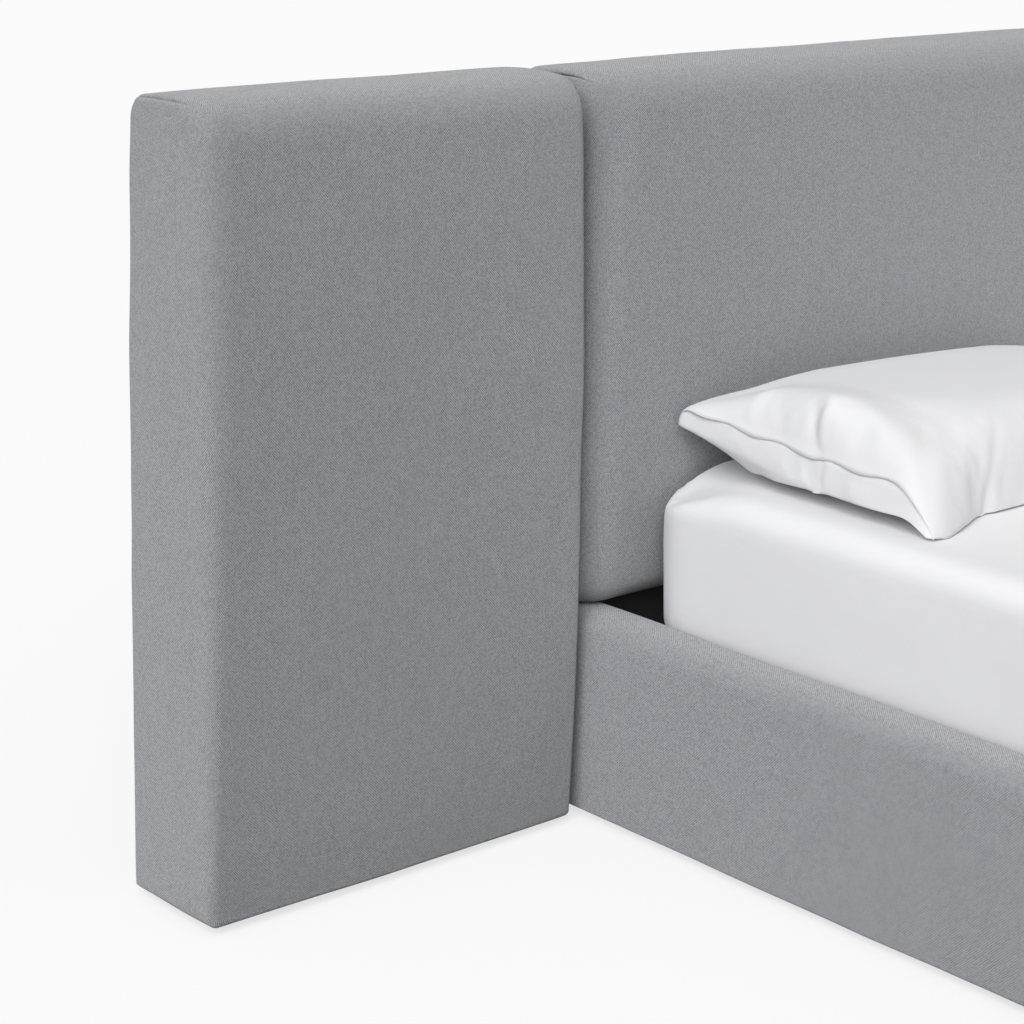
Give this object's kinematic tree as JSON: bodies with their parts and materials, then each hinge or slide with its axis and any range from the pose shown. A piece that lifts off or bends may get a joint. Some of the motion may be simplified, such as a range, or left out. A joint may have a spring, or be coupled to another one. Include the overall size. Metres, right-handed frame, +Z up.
{
  "type": "upholstered bed",
  "caption": "Wide upholstered bed with a padded headboard between two padded wings, padded low side rails, a slatted base, a mattress in its fitted sheet and two long pillows.",
  "frame": {"origin": "on the floor, in the middle of the bed's outline", "axes": "+X across the bed, to the right as seen from the foot; +Y from the foot to the head; +Z up"},
  "size_m": [3.504, 2.345, 1.1621],
  "materials": {
    "upholstery": "heathered grey twill",
    "foam": "upholstery foam",
    "timber": "planed pine",
    "board": "plywood",
    "dust_cloth": "black lining on board",
    "slat": "birch",
    "webbing": "woven tape",
    "steel": "black powder coat",
    "bolt": "zinc plated",
    "plastic": "moulded black",
    "mattress": "knitted ticking",
    "sheet": "white cotton",
    "pillow_fill": "white cotton over fibre fill"
  },
  "bodies": {
    "frame": {"beam_hangers": "steel", "centre_beam": "timber", "centre_leg_foot": "timber", "centre_leg_head": "timber", "centre_leg_mid": "timber", "foot_corner_brackets": "steel", "foot_rail_board": "board", "foot_rail_cover": "upholstery", "foot_rail_foam": "foam", "foot_rail_glides": "plastic", "head_rail": "dust_cloth", "headboard_back_panel": "dust_cloth", "headboard_cover": "upholstery", "headboard_face_board": "board", "headboard_foam": "foam", "headboard_frame": "timber", "headboard_leg_glides": "plastic", "headboard_leg_left": "timber", "headboard_leg_right": "timber", "rail_bolts": "bolt", "rail_head_plates": "steel", "side_rail_left_board": "board", "side_rail_left_cover": "upholstery", "side_rail_left_foam": "foam", "side_rail_left_glides": "plastic", "side_rail_right_board": "board", "side_rail_right_cover": "upholstery", "side_rail_right_foam": "foam", "side_rail_right_glides": "plastic", "slat_ledge_left": "timber", "slat_ledge_right": "timber", "slat_webbing_left": "webbing", "slat_webbing_right": "webbing", "slats_left": "slat", "slats_right": "slat", "wing_left_back_panel": "dust_cloth", "wing_left_cover": "upholstery", "wing_left_face_board": "board", "wing_left_foam": "foam", "wing_left_frame": "timber", "wing_left_glides": "plastic", "wing_plate_bolts": "bolt", "wing_plates": "steel", "wing_right_back_panel": "dust_cloth", "wing_right_cover": "upholstery", "wing_right_face_board": "board", "wing_right_foam": "foam", "wing_right_frame": "timber", "wing_right_glides": "plastic"},
    "mattress": {"mattress_core": "mattress", "fitted_sheet": "sheet"},
    "pillow_left": {"pillowcase_left": "sheet", "pillow_insert_left": "pillow_fill"},
    "pillow_right": {"pillowcase_right": "sheet", "pillow_insert_right": "pillow_fill"},
    "levelling_foot_head": {"levelling_foot_head": "steel"},
    "levelling_foot_mid": {"levelling_foot_mid": "steel"},
    "levelling_foot_foot": {"levelling_foot_foot": "steel"}
  },
  "joints": [
    {"name": "mattress_lift", "type": "slide", "parent": "frame", "child": "mattress", "axis": [0, 0, 1], "range_m": [0, 0.4]},
    {"name": "pillow_left_lift", "type": "slide", "parent": "mattress", "child": "pillow_left", "axis": [0, 0, 1], "range_m": [0, 0.2]},
    {"name": "pillow_right_lift", "type": "slide", "parent": "mattress", "child": "pillow_right", "axis": [0, 0, 1], "range_m": [0, 0.2]},
    {"name": "levelling_head", "type": "slide", "parent": "frame", "child": "levelling_foot_head", "axis": [0, 0, 1], "range_m": [0, 0.015]},
    {"name": "levelling_mid", "type": "slide", "parent": "frame", "child": "levelling_foot_mid", "axis": [0, 0, 1], "range_m": [0, 0.015]},
    {"name": "levelling_foot", "type": "slide", "parent": "frame", "child": "levelling_foot_foot", "axis": [0, 0, 1], "range_m": [0, 0.015]}
  ]
}
